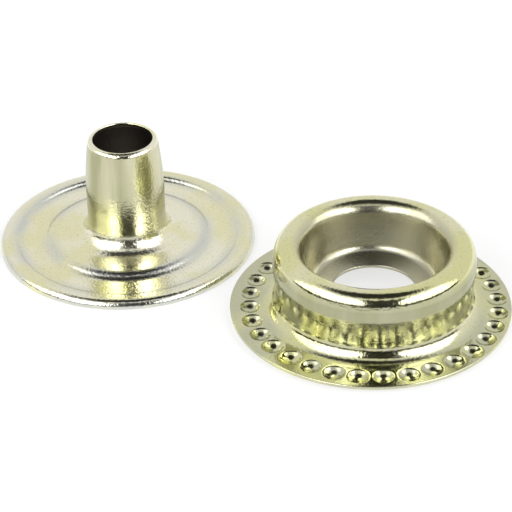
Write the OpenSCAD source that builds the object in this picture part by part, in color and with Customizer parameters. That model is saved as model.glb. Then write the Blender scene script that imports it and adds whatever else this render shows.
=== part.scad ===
// Male half of a post-type snap fastener: a stamped stud and the hollow eyelet that clinches it to cloth.
// Both pieces lie loose, barrel up and head up, on the plane z = 0. All sizes are millimetres.

/* [Stud flange] */
// Diameter of the stud's flange
flange_d = 14.4; // [13.8:0.1:16]
// Thickness of the stud's sheet
stud_sheet = 0.25; // [0.2:0.01:0.32]
// How far the trimmed edge of the flange sits off the head's axis
trim_shift = 0.2; // [0:0.05:0.3]
// Direction in which the trimmed edge is shifted, in degrees
trim_angle = 208; // [0:1:359]

/* [Stud dimples] */
// Number of dimples pressed into the flange
dimple_count = 32; // [16:1:33]
// Diameter of the circle through the dimple centres
dimple_ring_d = 12.76; // [12.5:0.02:12.9]
// Diameter of one dimple at the flange's top
dimple_d = 1.1; // [0.8:0.05:1.15]
// Depth of one dimple below the flange's top
dimple_depth = 0.2; // [0.12:0.01:0.24]
// Height of the bump that each dimple raises on the underside
bump_h = 0.14; // [0.08:0.01:0.18]
// Direction of the first dimple, in degrees
dimple_start = 9; // [0:0.5:22]

/* [Stud head] */
// Outer diameter of the head, over which the socket snaps
head_d = 10.3; // [9.8:0.05:10.6]
// Outer diameter of the neck under the head
neck_d = 9.86; // [9.5:0.02:10]
// Height of the head's crest above the flange's underside
head_h = 3.82; // [3.5:0.02:4.4]
// Height above the flange's underside at which the neck reaches the head's diameter
shoulder_h = 2.3; // [2:0.05:2.4]
// Bend radius between the flange and the neck
neck_foot_r = 0.8; // [0.5:0.05:1]
// Bend radius where the neck meets the head
shoulder_r = 3; // [1:0.5:4]
// Bend radius on the outer side of the crest
crest_outer_r = 0.8; // [0.6:0.02:0.9]
// Bend radius on the bowl side of the crest
crest_inner_r = 0.8; // [0.6:0.02:0.9]

/* [Stud bowl] */
// Inner diameter of the bowl at the level of the crest
bowl_top_d = 7.04; // [6.8:0.02:7.1]
// Inner diameter of the bowl at its foot
bowl_foot_d = 6.66; // [6.2:0.02:6.7]
// Height of the bowl's foot above the flange's underside
bowl_foot_h = 1.26; // [1.1:0.02:1.5]
// Bend radius at the bowl's foot
bowl_foot_r = 0.5; // [0.3:0.05:0.6]
// Diameter of the hole that the eyelet's barrel passes through
hole_d = 4.3; // [4.3:0.02:4.6]
// Height of the hole's upper edge above the flange's underside
hole_h = 1; // [0.9:0.02:1.1]

/* [Eyelet disc] */
// Diameter of the eyelet's disc
disc_d = 13.76; // [13:0.02:15]
// Thickness of the eyelet's sheet
eyelet_sheet = 0.25; // [0.2:0.01:0.3]
// Height of the raised rim
rim_h = 0.42; // [0.36:0.02:0.5]
// Diameter at which the raised rim ends on its inner side
rim_inner_d = 12.3; // [12.2:0.02:12.6]
// Diameter of the channel's outer edge
channel_outer_d = 11.8; // [11.4:0.02:11.9]
// Diameter of the channel's inner edge
channel_inner_d = 8.8; // [8.6:0.02:9.4]
// Height of the channel's upper face
channel_h = 0.3; // [0.28:0.01:0.34]
// Diameter of the flat seat round the barrel
seat_d = 8.3; // [8:0.02:8.4]
// Height of the seat's upper face
seat_h = 0.54; // [0.48:0.02:0.64]
// Bend radius of the rim's turned-down edge
rim_edge_r = 0.3; // [0.26:0.02:0.34]
// Bend radius of the steps in the disc
step_r = 0.28; // [0.1:0.02:0.3]

/* [Eyelet barrel] */
// Outer diameter of the barrel's straight stretch
barrel_d = 4.18; // [3.9:0.02:4.24]
// Height of the barrel's mouth
barrel_h = 6.27; // [6:0.05:8]
// Inner-edge diameter of the barrel's mouth
mouth_d = 3.1; // [2.9:0.02:3.2]
// Bend radius between the seat and the barrel
barrel_foot_r = 0.95; // [0.7:0.05:1]
// How far below the mouth the barrel's taper is centred
taper_drop = 2.07; // [2:0.01:2.2]
// Bend radius of the taper
taper_r = 19; // [10:1:19]
// How far the barrel has narrowed on each side where its end curls in
taper_in = 0.325; // [0.2:0.005:0.34]
// Height of the curled end
curl_h = 0.17; // [0.12:0.01:0.2]
// Bend radius of the curled end
curl_r = 0.62; // [0.4:0.02:0.66]

/* [Layout] */
// Gap between the two loose pieces as they lie
lay_gap = 0.55; // [0.4:0.05:3]

/* [Hidden] */

round_fn = 128;
dimple_fn = 24;
bend_steps = 8;
// How far the sheet and the cuts run past the edges that are trimmed
run_out = 1;
// How much wider than its cap a bump's root is, inside the sheet
bump_root = 0.04;

flange_r = flange_d / 2;
disc_r = disc_d / 2;
hole_r = hole_d / 2;
// Height of the flange's two faces: the stud stands on its bumps
flange_under = bump_h;
flange_top = bump_h + stud_sheet;
dimple_ring_r = dimple_ring_d / 2;
// Radius of the ball that leaves a cap of the given width and height
function cap_ball(width, height) = (width * width / 4 + height * height) / (2 * height);
dimple_ball = cap_ball(dimple_d, dimple_depth);
bump_ball = cap_ball(dimple_d, bump_h);

// The pair's outline is centred on the origin, with the eyelet on the -X side
stud_reach = flange_r - trim_shift * cos(trim_angle);
trim_reach = flange_r + trim_shift * cos(trim_angle);
pair_l = 2 * disc_r + lay_gap + stud_reach + trim_reach;
eyelet_x = disc_r - pair_l / 2;
stud_x = pair_l / 2 - trim_reach;
pair_y = -trim_shift * sin(trim_angle);

// Unit vector that points along heading a
function along(a) = [cos(a), sin(a)];
// Heading from point p to point q
function heading(p, q) = atan2(q[1] - p[1], q[0] - p[0]);
// Smallest turn from heading a to heading b
function turn(a, b) = (b - a + 900) % 360 - 180;
// Points round a bend of radius rad at corner c, each with its heading
function bend(c, a, b, rad) =
    let (
        sweep = turn(a, b),
        side = sign(sweep),
        start = c - rad * tan(abs(sweep) / 2) * along(a),
        centre = start + side * rad * along(a + 90)
    )
    [for (i = [0 : bend_steps]) let (h = a + sweep * i / bend_steps) [centre - side * rad * along(h + 90), h]];
// Points and headings along corners given as [radius, height, bend radius]
function sheet_path(c) =
    let (p = [for (k = c) [k[0], k[1]]], last = len(c) - 1)
    concat(
        [[p[0], heading(p[0], p[1])]],
        [for (i = [1 : last - 1]) each bend(p[i], heading(p[i - 1], p[i]), heading(p[i], p[i + 1]), c[i][2])],
        [[p[last], heading(p[last - 1], p[last])]]
    );

// Stamped sheet of even thickness, turned about Z: the path is its shown face, the metal lies left of it
module stamped(corners, thickness) {
    path = sheet_path(corners);
    last = len(path) - 1;
    shown = [for (k = path) k[0]];
    hidden = [for (i = [0 : last]) path[last - i][0] + thickness * along(path[last - i][1] + 90)];
    rotate_extrude($fn = round_fn) polygon(concat(shown, hidden));
}

// Corners of the stud's shown face, from outside the trimmed edge to inside the hole
stud_corners = [
    [flange_r + run_out, flange_top, 0],
    [neck_d / 2, flange_top, neck_foot_r],
    [head_d / 2, flange_under + shoulder_h, shoulder_r],
    [head_d / 2, flange_under + head_h, crest_outer_r],
    [bowl_top_d / 2, flange_under + head_h, crest_inner_r],
    [bowl_foot_d / 2, flange_under + bowl_foot_h, bowl_foot_r],
    [hole_r, flange_under + hole_h, run_out],
    [hole_r - run_out, flange_under + hole_h, 0]
];

// Corners of the eyelet's shown face, from the edge that stands on the plane to the barrel's mouth
eyelet_corners = [
    [disc_r, 0, 0],
    [disc_r, rim_h, rim_edge_r],
    [rim_inner_d / 2, rim_h, step_r],
    [channel_outer_d / 2, channel_h, step_r],
    [channel_inner_d / 2, channel_h, step_r],
    [seat_d / 2, seat_h, step_r],
    [barrel_d / 2, seat_h, barrel_foot_r],
    [barrel_d / 2, barrel_h - taper_drop, taper_r],
    [barrel_d / 2 - taper_in, barrel_h - curl_h, curl_r],
    [mouth_d / 2, barrel_h, 0]
];

// Places its children at each dimple
module at_dimples() {
    for (i = [0 : dimple_count - 1]) {
        rotate([0, 0, dimple_start + i * 360 / dimple_count]) translate([dimple_ring_r, 0, 0]) children();
    }
}

// Bump under one dimple: the cap of a ball, rooted in the flange's sheet
module bump() {
    intersection() {
        translate([0, 0, bump_ball]) sphere(r = bump_ball, $fn = dimple_fn);
        cylinder(d = dimple_d + bump_root, h = flange_under + stud_sheet / 2, $fn = dimple_fn);
    }
}

// Hollow of one dimple
module dimple() {
    translate([0, 0, flange_top - dimple_depth + dimple_ball]) sphere(r = dimple_ball, $fn = dimple_fn);
}

module stud() {
    color("#D9D6A8") translate([stud_x, pair_y, 0]) difference() {
        intersection() {
            union() {
                stamped(stud_corners, stud_sheet);
                at_dimples() bump();
            }
            translate(trim_shift * along(trim_angle)) cylinder(r = flange_r, h = 2 * head_h, $fn = round_fn);
        }
        at_dimples() dimple();
        cylinder(r = hole_r, h = 2 * head_h, $fn = round_fn);
    }
}

module eyelet() {
    color("#DCD9B0") translate([eyelet_x, pair_y, 0]) stamped(eyelet_corners, eyelet_sheet);
}

stud();
eyelet();
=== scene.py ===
import math
import random

import bpy
import numpy as np
from mathutils import Matrix, Vector


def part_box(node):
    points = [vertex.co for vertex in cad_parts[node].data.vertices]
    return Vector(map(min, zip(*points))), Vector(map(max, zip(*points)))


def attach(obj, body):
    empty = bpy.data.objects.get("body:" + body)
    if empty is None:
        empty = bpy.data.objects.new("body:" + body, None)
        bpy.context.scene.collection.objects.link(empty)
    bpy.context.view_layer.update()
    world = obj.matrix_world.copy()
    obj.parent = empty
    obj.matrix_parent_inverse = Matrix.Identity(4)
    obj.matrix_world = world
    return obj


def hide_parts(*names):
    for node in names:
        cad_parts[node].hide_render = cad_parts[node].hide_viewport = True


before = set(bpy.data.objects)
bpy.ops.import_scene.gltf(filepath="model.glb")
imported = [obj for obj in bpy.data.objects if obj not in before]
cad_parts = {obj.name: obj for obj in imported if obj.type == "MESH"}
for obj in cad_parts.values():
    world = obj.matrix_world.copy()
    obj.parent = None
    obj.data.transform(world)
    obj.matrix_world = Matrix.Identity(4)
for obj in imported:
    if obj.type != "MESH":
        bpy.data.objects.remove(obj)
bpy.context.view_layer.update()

# Lengths below are millimetres, as on a drawing, and this turns them into metres
MM = 0.001

# Camera, as the photograph was taken
VIEW_AZIMUTH = 29.1
VIEW_ELEVATION = 33.0
VIEW_ROLL = -1.05
VIEW_DISTANCE = 107.6
VIEW_AIM = (-0.455, 1.718, 0.0)
LENS = 141.4
SENSOR = 36.0

# Stud, in the sizes of the part
FLANGE_R = 7.2
STUD_SHEET = 0.2
TRIM_SHIFT = 0.16
TRIM_ANGLE = 205.0
NARROW_EDGE_R = FLANGE_R - TRIM_SHIFT
DIMPLE_PITCH = 1.25
DIMPLE_RING_R = NARROW_EDGE_R - 0.68
DIMPLE_R = 0.55
DIMPLE_DEPTH = 0.28
DIMPLE_START = 8.0
DIMPLES = round(2 * math.pi * DIMPLE_RING_R / DIMPLE_PITCH)
BUMP_H = 0.2
NECK_R = NARROW_EDGE_R - 2.2
NECK_FOOT_R = 0.8
HEAD_R = NECK_R + 0.325
SIDE_H = 0.45
SIDE_R = 1.5
SHOULDER_R = 1.2
SHOULDER_DROP = 0.87
CREST_LEAN = 0.22
CREST_R = HEAD_R - CREST_LEAN
CREST_OUTER_R = 0.7
CREST_FLAT = 0.02
CREST_INNER_R = 0.7
BOWL_DRAFT = 0.54
BOWL_DEPTH = 2.52
OUTER_REACH = CREST_OUTER_R * math.tan((math.pi / 2 - math.atan2(CREST_LEAN, SHOULDER_DROP)) / 2)
INNER_REACH = CREST_INNER_R * math.tan((math.pi / 2 - math.atan2(BOWL_DRAFT, BOWL_DEPTH)) / 2)
BOWL_TOP_R = CREST_R - OUTER_REACH - CREST_FLAT - INNER_REACH
BOWL_FOOT_EDGE = BOWL_TOP_R - BOWL_DRAFT
BOWL_FOOT_R = 0.5
HOLE_R = BOWL_FOOT_EDGE - 1.124
FLANGE_TOP = BUMP_H + STUD_SHEET
CREST_Z = FLANGE_TOP + 3.66
SHOULDER_Z = CREST_Z - SHOULDER_DROP
BOWL_FOOT_Z = CREST_Z - BOWL_DEPTH
HOLE_Z = BOWL_FOOT_Z - 0.26

# Eyelet, in the sizes of the part
DISC_R = 6.88
EYELET_SHEET = 0.25
RIM_SLOPE_W = 0.21
SEAT_SLOPE_W = 0.36
RIM_INNER_R = DISC_R - 0.855
CHANNEL_OUTER_R = RIM_INNER_R - RIM_SLOPE_W
CHANNEL_INNER_R = CHANNEL_OUTER_R - 1.3
SEAT_R = CHANNEL_INNER_R - SEAT_SLOPE_W
CHANNEL_Z = EYELET_SHEET
RIM_RISE = 0.2
SEAT_RISE = 0.29
RIM_EDGE_H = 0.45
RIM_BEND_R = 0.37
BARREL_R = HOLE_R - 0.06
BARREL_END_R = BARREL_R - 0.24
BARREL_FOOT_R = 1.0
TAPER_DROP = 2.1
TAPER_R = 19.0
LIP_R = 0.27
MOUTH_Z = 6.27
# Share of a slope that its two bends take up
SLOPE_FILL = 0.96

# Mesh density
STUD_AROUND = 608
EYELET_AROUND = 384
BEND_STEPS = 7
ROW_STEP = 0.06
# Rounding of the cut edges and of the dimples' brims
EDGE_ROUND = 0.05
BRIM_SOFT = 0.035


def along(angle):
    """Unit vector at an angle in degrees."""
    return np.array([math.cos(math.radians(angle)), math.sin(math.radians(angle))])


def heading(p, q):
    return math.degrees(math.atan2(q[1] - p[1], q[0] - p[0]))


def bend(corner, before, after, radius):
    """Points and headings round one bend of the sheet."""
    sweep = (after - before + 900) % 360 - 180
    side = math.copysign(1, sweep)
    start = np.array(corner) - radius * math.tan(math.radians(abs(sweep) / 2)) * along(before)
    centre = start + side * radius * along(before + 90)
    turns = [before + sweep * i / BEND_STEPS for i in range(BEND_STEPS + 1)]
    return [(centre - side * radius * along(h + 90), h) for h in turns]


def slope_bend(width, rise):
    """Radius at which the two bends of a slope fill it."""
    return SLOPE_FILL * math.hypot(width, rise) / 2 / math.tan(math.atan2(rise, width) / 2)


def sheet_path(corners):
    """The sheet's shown face as points with headings, from (radius, height, bend radius) corners."""
    points = [c[:2] for c in corners]
    path = [(np.array(points[0]), heading(points[0], points[1]))]
    for i in range(1, len(points) - 1):
        path += bend(points[i], heading(points[i - 1], points[i]), heading(points[i], points[i + 1]), corners[i][2])
    path.append((np.array(points[-1]), heading(points[-2], points[-1])))
    return path


def filled(path, step):
    """The path with extra points, so that no stretch is longer than step."""
    out = [path[0]]
    for (p, _), (q, h) in zip(path, path[1:]):
        parts = max(1, math.ceil(np.linalg.norm(q - p) / step))
        out += [(p + (q - p) * k / parts, h) for k in range(1, parts + 1)]
    return out


def section(path, thickness):
    """Closed section of an even sheet, first its shown face and then its hidden one, and which points are hidden."""
    shown = [p for p, _ in path]
    plain = path[:1] + path[1:-1:2] + path[-1:]
    hidden = [p + thickness * along(h + 90) for p, h in reversed(plain)]
    ring = []
    for face in (shown, hidden):
        start, end = face[0], face[-1]
        inward_start = (face[1] - start) / np.linalg.norm(face[1] - start)
        inward_end = (face[-2] - end) / np.linalg.norm(face[-2] - end)
        other_start = (hidden if face is shown else shown)[-1]
        other_end = (hidden if face is shown else shown)[0]
        ring += rounded(start, other_start, inward_start)[::-1]
        ring += [p for p in face if min(np.linalg.norm(p - start), np.linalg.norm(p - end)) > EDGE_ROUND]
        ring += rounded(end, other_end, inward_end)
        if face is shown:
            shown_count = len(ring)
    return np.array(ring), np.arange(len(ring)) >= shown_count


def rounded(corner, other, inward):
    """Points that round one corner of a cut edge, from the face towards the edge."""
    across = (other - corner) / np.linalg.norm(other - corner)
    centre = corner + EDGE_ROUND * (inward + across)
    angles = [math.radians(a) for a in (0, 22.5, 45, 67.5, 90)]
    return [centre - EDGE_ROUND * (math.cos(a) * across + math.sin(a) * inward) for a in angles]


def smooth(value, low, high):
    """Soft step from 0 at low to 1 at high."""
    t = np.clip((value - low) / (high - low), 0, 1)
    return t * t * (3 - 2 * t)


def upright(ring, low, high):
    """Share of each point of a section that is an upright outer wall above a height."""
    ahead = np.roll(ring, -1, axis=0) - np.roll(ring, 1, axis=0)
    level = np.abs(ahead[:, 0]) / np.maximum(np.hypot(ahead[:, 0], ahead[:, 1]), 1e-9)
    return (1 - smooth(level, 0.15, 0.5)) * smooth(ring[:, 1], low, high)


def revolve(name, ring, around, zones, warp=None):
    """A closed solid of revolution about Z from a closed section of (radius, height) points."""
    angles = np.arange(around) * 2 * math.pi / around
    radius = np.repeat(ring[None, :, 0], around, axis=0)
    height = np.repeat(ring[None, :, 1], around, axis=0)
    if warp:
        radius, height = warp(angles[:, None], radius, height)
    co = np.stack([radius * np.cos(angles)[:, None], radius * np.sin(angles)[:, None], height], axis=2)
    rows = len(ring)
    i, j = np.meshgrid(np.arange(around), np.arange(rows), indexing="ij")
    i2, j2 = (i + 1) % around, (j + 1) % rows
    faces = np.stack([i * rows + j, i2 * rows + j, i2 * rows + j2, i * rows + j2], axis=2).reshape(-1, 4)
    mesh = bpy.data.meshes.new(name)
    mesh.from_pydata((co.reshape(-1, 3) * MM).tolist(), [], faces.tolist())
    mesh.shade_smooth()
    for label, share in zones.items():
        mesh.attributes.new(label, "FLOAT", "POINT").data.foreach_set("value", np.tile(share, around))
    obj = bpy.data.objects.new(name, mesh)
    bpy.context.scene.collection.objects.link(obj)
    return obj


def cap_ball(half_width, height):
    return (half_width * half_width + height * height) / (2 * height)


def soft_cap(distance, half_width, height):
    """Depth of a ball-shaped cap at a distance from its middle, with a soft brim."""
    ball = cap_ball(half_width, height)
    depth = np.sqrt(np.maximum(ball * ball - distance * distance, 0)) - (ball - height)
    return 0.5 * (depth + np.sqrt(depth * depth + BRIM_SOFT * BRIM_SOFT)) * (distance < half_width * 1.35)


def dimple_layout():
    """Angle, radius, half-width and depth of each dimple, with the slight scatter of a worn punch."""
    scatter = random.Random(7)
    rows = []
    for i in range(DIMPLES):
        angle = math.radians(DIMPLE_START + i * 360 / DIMPLES + scatter.uniform(-0.35, 0.35))
        size = scatter.uniform(0.94, 1.0)
        rows.append((angle, DIMPLE_RING_R + scatter.uniform(-0.03, 0.03), DIMPLE_R * size, DIMPLE_DEPTH * size))
    return rows


def stud_warp(angles, radius, height):
    """Trims the flange off centre, and presses the dimples into it and the bumps out of it."""
    offset = angles - math.radians(TRIM_ANGLE)
    trimmed = TRIM_SHIFT * np.cos(offset) + np.sqrt(FLANGE_R**2 - (TRIM_SHIFT * np.sin(offset)) ** 2)
    foot = NECK_R + NECK_FOOT_R + 0.05
    share = np.clip((radius - foot) / (FLANGE_R - foot), 0, 1)
    radius = radius + share * (trimmed - FLANGE_R)
    on_top = (height > FLANGE_TOP - 0.02) & (radius > 5.4) & (height < 1.0)
    under = (height < BUMP_H + 0.02) & (radius > 5.4)
    x, y = radius * np.cos(angles), radius * np.sin(angles)
    drop = np.zeros_like(height)
    for angle, ring_r, half_width, depth in dimple_layout():
        distance = np.hypot(x - ring_r * math.cos(angle), y - ring_r * math.sin(angle))
        drop += soft_cap(distance, half_width, depth) * on_top
        drop += soft_cap(distance, half_width, BUMP_H - 0.01) * under
    return radius, height - drop


def build_stud():
    corners = [
        (FLANGE_R, FLANGE_TOP, 0),
        (NECK_R, FLANGE_TOP, NECK_FOOT_R),
        (HEAD_R, SHOULDER_Z - SIDE_H, SIDE_R),
        (HEAD_R, SHOULDER_Z, SHOULDER_R),
        (CREST_R, CREST_Z, CREST_OUTER_R),
        (BOWL_TOP_R, CREST_Z, CREST_INNER_R),
        (BOWL_FOOT_EDGE, BOWL_FOOT_Z, BOWL_FOOT_R),
        (HOLE_R, HOLE_Z, 0)]
    path = filled(sheet_path(corners), 0.5)
    fine = []
    for (p, h), (q, k) in zip(path, path[1:]):
        fine.append((p, h))
        if p[0] > 5.7 and q[0] > 5.7:
            parts = math.ceil(np.linalg.norm(q - p) / ROW_STEP)
            fine += [(p + (q - p) * i / parts, k) for i in range(1, parts)]
    fine.append(path[-1])
    ring, _ = section(fine, STUD_SHEET)
    # The bowl's inside gets a rougher finish and a darker, browner colour: a duller plating, darkened further with
    # painted shade in the recess.
    inside = smooth(-ring[:, 0], -4.3, -3.6) * smooth(ring[:, 1], 0.6, 1.0)
    zones = {
        "inside": inside,
        # Upright head and neck walls get a darker, streaked colour: painted shade with painted reflection streaks.
        "wall": upright(ring, 0.7, 1.0) * (ring[:, 0] > NECK_R - 0.02),
        # The flange top beside the neck gets a darker colour: painted shade.
        "painted_shade": smooth(ring[:, 0], NECK_R + 0.2, NECK_R + 0.9)}
    return revolve("stud_shell", ring, STUD_AROUND, zones, stud_warp)


def build_eyelet():
    rim_z = CHANNEL_Z + RIM_RISE
    seat_z = CHANNEL_Z + SEAT_RISE
    rim_bend = slope_bend(RIM_SLOPE_W, RIM_RISE)
    seat_bend = slope_bend(SEAT_SLOPE_W, SEAT_RISE)
    corners = [
        (DISC_R, rim_z - RIM_EDGE_H, 0),
        (DISC_R, rim_z, RIM_BEND_R),
        (RIM_INNER_R, rim_z, rim_bend),
        (CHANNEL_OUTER_R, CHANNEL_Z, rim_bend),
        (CHANNEL_INNER_R, CHANNEL_Z, seat_bend),
        (SEAT_R, seat_z, seat_bend),
        (BARREL_R, seat_z, BARREL_FOOT_R),
        (BARREL_R, MOUTH_Z - TAPER_DROP, TAPER_R),
        (BARREL_END_R, MOUTH_Z, LIP_R),
        (BARREL_END_R - LIP_R, MOUTH_Z, 0)]
    path = filled(sheet_path(corners), 0.4)
    ring, hidden = section(path, EYELET_SHEET)
    # The bore's inside gets a near-black colour: painted shade in the unlit bore.
    inside = hidden * smooth(-ring[:, 0], -2.6, -2.2)
    # Bands along the disc's steps get a greyer colour: painted shade.
    steps = [(CHANNEL_OUTER_R + 0.1, 0.3), (CHANNEL_INNER_R - 0.25, 0.35), (DISC_R, 0.2)]
    painted_shade = sum(np.exp(-((ring[:, 0] - middle) / width) ** 2) for middle, width in steps)
    # The barrel's upright outside gets a darker, streaked colour: painted shade with painted reflection streaks.
    zones = {"inside": inside, "wall": upright(ring, 1.0, 1.6) * ~hidden, "painted_shade": np.clip(painted_shade, 0, 1)}
    return revolve("eyelet_shell", ring, EYELET_AROUND, zones)


def node_axis(name, shift=(0.0, 0.0)):
    """Where a piece's axis stands, from the box of its node."""
    low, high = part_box(name)
    return Vector(((low.x + high.x) / 2 - shift[0] * MM, (low.y + high.y) / 2 - shift[1] * MM, 0))


# Materials
def tree_of(material):
    material.use_nodes = True
    nodes = material.node_tree.nodes
    nodes.clear()
    return nodes, material.node_tree.links


def add(nodes, kind, **values):
    """A node with its properties and named inputs set."""
    node = nodes.new(kind)
    for key, value in values.items():
        if hasattr(node, key):
            setattr(node, key, value)
        else:
            node.inputs[key.replace("_", " ")].default_value = value
    return node


def ramp(nodes, links, value, low, high, to_low=0.0, to_high=1.0, smooth=False):
    """Output that runs from to_low to to_high while value runs from low to high."""
    node = add(nodes, "ShaderNodeMapRange")
    if smooth:
        node.interpolation_type = "SMOOTHSTEP"
    links.new(value, node.inputs["Value"])
    for socket, number in (("From Min", low), ("From Max", high), ("To Min", to_low), ("To Max", to_high)):
        node.inputs[socket].default_value = number
    return node.outputs["Result"]


def blend(nodes, links, share, first, second):
    """Colour between two colours, each a plain colour or an output."""
    node = add(nodes, "ShaderNodeMix", data_type="RGBA")
    links.new(share, node.inputs["Factor"])
    for socket, colour in ((node.inputs[6], first), (node.inputs[7], second)):
        if isinstance(colour, tuple):
            socket.default_value = (*colour, 1)
        else:
            links.new(colour, socket)
    return node.outputs[2]


def zone(nodes, label):
    """Share of a zone that the mesh carries."""
    return add(nodes, "ShaderNodeAttribute", attribute_name=label).outputs["Fac"]


def product(nodes, links, first, second):
    node = add(nodes, "ShaderNodeMath", operation="MULTIPLY")
    links.new(first, node.inputs[0])
    links.new(second, node.inputs[1])
    return node.outputs["Value"]


def plated_metal(name, pale, deep, shade_tint, wall, wall_streak_shade, inner_shade, rough, inner_rough, grain):
    """Bright plating over brass: clouded; painted shade along its steps and on the flange top; a darker colour with
    painted reflection streaks on upright walls; rougher inside, with painted shade in its colour there.
    """
    material = bpy.data.materials.new(name)
    nodes, links = tree_of(material)
    place = add(nodes, "ShaderNodeTexCoord").outputs["Object"]
    clouds = add(nodes, "ShaderNodeTexNoise", Scale=330.0, Detail=3.0)
    grit = add(nodes, "ShaderNodeTexNoise", Scale=7500.0, Detail=2.0)
    swell = add(nodes, "ShaderNodeTexNoise", Scale=1100.0, Detail=1.0)
    specks = add(nodes, "ShaderNodeTexNoise", Scale=9000.0, Detail=1.0)
    pits = add(nodes, "ShaderNodeTexVoronoi", Scale=900.0)
    for texture in (clouds, grit, swell, specks, pits):
        links.new(place, texture.inputs["Vector"])
    # Noise stretched up the walls: painted reflection streaks.
    streak_stretch = add(nodes, "ShaderNodeVectorMath", operation="MULTIPLY")
    streak_stretch.inputs[1].default_value = (1.0, 1.0, 0.07)
    links.new(place, streak_stretch.inputs[0])
    reflection_streaks = add(nodes, "ShaderNodeTexNoise", Scale=900.0, Detail=3.0)
    links.new(streak_stretch.outputs["Vector"], reflection_streaks.inputs["Vector"])

    inside = zone(nodes, "inside")
    # Darker, patchy colour on the stud's flange top and the eyelet's steps: painted shade.
    painted_shade = product(nodes, links, zone(nodes, "painted_shade"), ramp(nodes, links, clouds.outputs["Fac"], 0.3, 0.52))
    cloud_share = ramp(nodes, links, clouds.outputs["Fac"], 0.38, 0.6, smooth=True)
    tint = blend(nodes, links, cloud_share, deep, pale)
    painted_wall_tint = blend(nodes, links, ramp(nodes, links, reflection_streaks.outputs["Fac"], 0.35, 0.65), wall_streak_shade, wall)
    tint = blend(nodes, links, zone(nodes, "wall"), tint, painted_wall_tint)
    tint = blend(nodes, links, painted_shade, tint, shade_tint)
    speck_share = ramp(nodes, links, specks.outputs["Fac"], 0.58, 0.72, 0.0, 0.35)
    tint = blend(nodes, links, speck_share, tint, tuple(0.6 * c for c in deep))
    # Darker colour inside the bowl and the bore: painted shade.
    tint = blend(nodes, links, inside, tint, inner_shade)

    rough_out = ramp(nodes, links, clouds.outputs["Fac"], 0.3, 0.7, rough - 0.03, rough + 0.03)
    worn = add(nodes, "ShaderNodeMath", operation="MULTIPLY_ADD")
    links.new(painted_shade, worn.inputs[0])
    worn.inputs[1].default_value = 0.03
    links.new(rough_out, worn.inputs[2])
    rough_in = ramp(nodes, links, clouds.outputs["Fac"], 0.3, 0.7, inner_rough - 0.04, inner_rough + 0.04)
    roughness = add(nodes, "ShaderNodeMix", data_type="FLOAT")
    links.new(inside, roughness.inputs["Factor"])
    links.new(worn.outputs["Value"], roughness.inputs[2])
    links.new(rough_in, roughness.inputs[3])

    grit_bump = add(nodes, "ShaderNodeBump", Strength=grain, Distance=0.00003)
    swell_bump = add(nodes, "ShaderNodeBump", Strength=0.25, Distance=0.00003)
    pit_bump = add(nodes, "ShaderNodeBump", Strength=0.15, Distance=0.00002)
    pit_edge = ramp(nodes, links, pits.outputs["Distance"], 0.02, 0.07)
    links.new(grit.outputs["Fac"], grit_bump.inputs["Height"])
    links.new(swell.outputs["Fac"], swell_bump.inputs["Height"])
    links.new(pit_edge, pit_bump.inputs["Height"])
    links.new(grit_bump.outputs["Normal"], swell_bump.inputs["Normal"])
    links.new(swell_bump.outputs["Normal"], pit_bump.inputs["Normal"])

    shader = add(nodes, "ShaderNodeBsdfPrincipled", Metallic=1.0)
    out = add(nodes, "ShaderNodeOutputMaterial")
    links.new(tint, shader.inputs["Base Color"])
    links.new(roughness.outputs[0], shader.inputs["Roughness"])
    links.new(pit_bump.outputs["Normal"], shader.inputs["Normal"])
    links.new(shader.outputs["BSDF"], out.inputs["Surface"])
    return material


def floor_material():
    """White paper, lifted to the white of the background where it is seen, with a soft shadow kept."""
    material = bpy.data.materials.new("floor_white")
    nodes, links = tree_of(material)
    paper = add(nodes, "ShaderNodeBsdfDiffuse", Color=(FLOOR_COLOUR, FLOOR_COLOUR, FLOOR_COLOUR, 1))
    shaded = add(nodes, "ShaderNodeBsdfDiffuse", Color=(FLOOR_SHADE, FLOOR_SHADE, FLOOR_SHADE, 1))
    glow = add(nodes, "ShaderNodeEmission", Strength=1.0 - FLOOR_SHADE)
    seen = add(nodes, "ShaderNodeAddShader")
    links.new(shaded.outputs["BSDF"], seen.inputs[0])
    links.new(glow.outputs["Emission"], seen.inputs[1])
    path = add(nodes, "ShaderNodeLightPath")
    direct = add(nodes, "ShaderNodeMath", operation="MAXIMUM")
    links.new(path.outputs["Is Camera Ray"], direct.inputs[0])
    links.new(path.outputs["Is Glossy Ray"], direct.inputs[1])
    either = add(nodes, "ShaderNodeMath", operation="MAXIMUM")
    links.new(direct.outputs["Value"], either.inputs[0])
    links.new(path.outputs["Is Transmission Ray"], either.inputs[1])
    choose = add(nodes, "ShaderNodeMixShader")
    links.new(either.outputs["Value"], choose.inputs["Fac"])
    links.new(paper.outputs["BSDF"], choose.inputs[1])
    links.new(seen.outputs["Shader"], choose.inputs[2])
    out = add(nodes, "ShaderNodeOutputMaterial")
    links.new(choose.outputs["Shader"], out.inputs["Surface"])
    return material


# Studio: a white tent with two large soft lights at the front, a dark gap between them and a dark top
LIGHT_LOW = 12.0
LIGHT_HIGH = 57.0
LIGHT_BACK = 97.0
GAP_HALF = 20.0
GAP_CENTRE = 5.0
LIGHT_LEVEL = 2.6
CORE_LEVEL = 9.0
TENT_LEVEL = 1.0
DARK_LEVEL = 0.03
TOP_ELEVATION = 95.0
TOP_RADIUS = 25.0
# Paper of the floor, and the part of its seen brightness that shadows take away
FLOOR_COLOUR = 0.86
FLOOR_SHADE = 0.3


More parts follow.
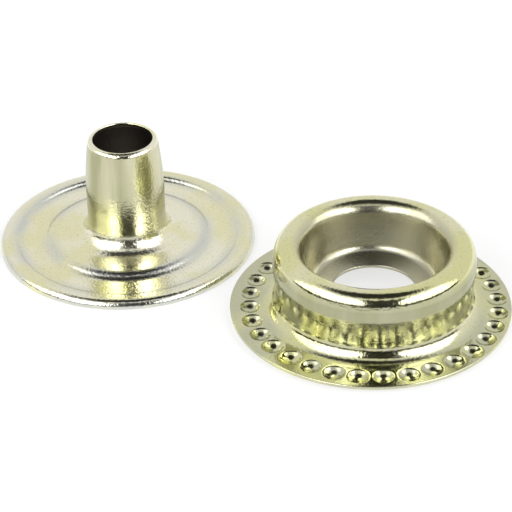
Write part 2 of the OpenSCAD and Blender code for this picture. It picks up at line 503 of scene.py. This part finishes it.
def studio_world():
    world = bpy.data.worlds.new("studio")
    bpy.context.scene.world = world
    world.use_nodes = True
    nodes = world.node_tree.nodes
    links = world.node_tree.links
    nodes.clear()

    def math_node(operation, a, b=None):
        node = add(nodes, "ShaderNodeMath", operation=operation)
        for socket, value in zip(node.inputs, (a, b)):
            if isinstance(value, (int, float)):
                socket.default_value = value
            elif value is not None:
                links.new(value, socket)
        return node.outputs[0]

    def dot(vector, direction):
        node = add(nodes, "ShaderNodeVectorMath", operation="DOT_PRODUCT")
        links.new(vector, node.inputs[0])
        node.inputs[1].default_value = direction
        return node.outputs["Value"]

    def step(value, at, soft):
        node = add(nodes, "ShaderNodeMapRange", interpolation_type="SMOOTHSTEP")
        links.new(value, node.inputs["Value"])
        node.inputs["From Min"].default_value = at - soft
        node.inputs["From Max"].default_value = at + soft
        return node.outputs["Result"]

    def band(value, low, high, soft):
        return math_node("SUBTRACT", step(value, low, soft), step(value, high, soft))

    def mixed(under, over, share):
        kept = math_node("MULTIPLY", under, math_node("SUBTRACT", 1.0, share))
        return math_node("ADD", kept, math_node("MULTIPLY", over, share))

    azimuth = math.radians(VIEW_AZIMUTH)
    front = (math.sin(azimuth), -math.cos(azimuth), 0)
    right = (math.cos(azimuth), math.sin(azimuth), 0)
    top_tilt = math.radians(TOP_ELEVATION)
    top = tuple(c * math.cos(top_tilt) for c in front[:2]) + (math.sin(top_tilt),)

    place = add(nodes, "ShaderNodeTexCoord")
    direction = place.outputs["Generated"]
    elevation = math_node("DEGREES", math_node("ARCSINE", dot(direction, (0, 0, 1))))
    around = math_node("DEGREES", math_node("ARCTAN2", dot(direction, right), dot(direction, front)))
    to_right = math_node("DEGREES", math_node("ARCSINE", dot(direction, right)))
    sideways = math_node("ABSOLUTE", math_node("SUBTRACT", to_right, GAP_CENTRE))
    from_front = math_node("ABSOLUTE", around)
    off_top = math_node("DEGREES", math_node("ARCCOSINE", dot(direction, top)))

    ahead = math_node("SUBTRACT", 1.0, step(from_front, LIGHT_BACK, 3.0))
    low_dark = math_node("MULTIPLY", ahead, math_node("SUBTRACT", 1.0, step(elevation, LIGHT_HIGH, 2.0)))
    lights = math_node("MULTIPLY", band(elevation, LIGHT_LOW, LIGHT_HIGH, 2.0), ahead)
    lights = math_node("MULTIPLY", lights, step(sideways, GAP_HALF, 2.0))
    dark_top = math_node("SUBTRACT", 1.0, step(off_top, TOP_RADIUS, 4.0))
    level = mixed(TENT_LEVEL, DARK_LEVEL, low_dark)
    level = mixed(level, DARK_LEVEL, dark_top)
    level = mixed(level, LIGHT_LEVEL, lights)
    core = math_node("MULTIPLY", band(elevation, 24.0, 44.0, 4.0), band(sideways, GAP_HALF + 2.0, 42.0, 4.0))
    level = mixed(level, CORE_LEVEL, math_node("MULTIPLY", core, ahead))

    tent = add(nodes, "ShaderNodeBackground")
    links.new(level, tent.inputs["Strength"])
    white = add(nodes, "ShaderNodeBackground")
    path = add(nodes, "ShaderNodeLightPath")
    choose = add(nodes, "ShaderNodeMixShader")
    out = add(nodes, "ShaderNodeOutputWorld")
    links.new(path.outputs["Is Camera Ray"], choose.inputs["Fac"])
    links.new(tent.outputs["Background"], choose.inputs[1])
    links.new(white.outputs["Background"], choose.inputs[2])
    links.new(choose.outputs["Shader"], out.inputs["Surface"])


def studio_floor():
    mesh = bpy.data.meshes.new("floor")
    half = 1.5
    mesh.from_pydata([(-half, -half, 0), (half, -half, 0), (half, half, 0), (-half, half, 0)], [], [(0, 1, 2, 3)])
    floor = bpy.data.objects.new("floor", mesh)
    floor.data.materials.append(floor_material())
    bpy.context.scene.collection.objects.link(floor)


def photo_camera():
    azimuth, elevation, roll = (math.radians(a) for a in (VIEW_AZIMUTH, VIEW_ELEVATION, VIEW_ROLL))
    back = Vector((math.sin(azimuth) * math.cos(elevation), -math.cos(azimuth) * math.cos(elevation), math.sin(elevation)))
    level = Vector((math.cos(azimuth), math.sin(azimuth), 0))
    upright = back.cross(level)
    right = level * math.cos(roll) + upright * math.sin(roll)
    up = upright * math.cos(roll) - level * math.sin(roll)
    data = bpy.data.cameras.new("camera")
    data.lens = LENS
    data.sensor_width = SENSOR
    data.clip_start = 0.01
    camera = bpy.data.objects.new("camera", data)
    camera.matrix_world = Matrix.Translation((Vector(VIEW_AIM) + back * VIEW_DISTANCE) * MM) @ Matrix(
        (right, up, back)).transposed().to_4x4()
    bpy.context.scene.collection.objects.link(camera)
    bpy.context.scene.camera = camera


photo_camera()
studio_world()
studio_floor()

trim = TRIM_SHIFT * along(TRIM_ANGLE)
stud = build_stud()
stud.location = node_axis("stud", trim)
eyelet = build_eyelet()
eyelet.location = node_axis("eyelet")

# The wall colours paint shade and reflection streaks, the step colour paints shade, and the inside colours paint
# shade, near black in the eyelet's bore.
stud_metal = plated_metal(
    "stud_nickel", pale=(0.84, 0.82, 0.55), deep=(0.78, 0.77, 0.40), shade_tint=(0.60, 0.60, 0.42),
    wall=(0.46, 0.46, 0.31), wall_streak_shade=(0.39, 0.39, 0.23), inner_shade=(0.47, 0.455, 0.345),
    rough=0.13, inner_rough=0.27, grain=0.3)
eyelet_metal = plated_metal(
    "eyelet_nickel", pale=(0.95, 0.92, 0.73), deep=(0.88, 0.85, 0.54), shade_tint=(0.70, 0.71, 0.65),
    wall=(0.66, 0.64, 0.44), wall_streak_shade=(0.42, 0.42, 0.25), inner_shade=(0.10, 0.085, 0.07),
    rough=0.16, inner_rough=0.45, grain=0.5)
for piece, node, material in ((stud, "stud", stud_metal), (eyelet, "eyelet", eyelet_metal)):
    piece.data.materials.append(material)
    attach(piece, "root")
    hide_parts(node)

bpy.context.scene.view_settings.view_transform = "Standard"
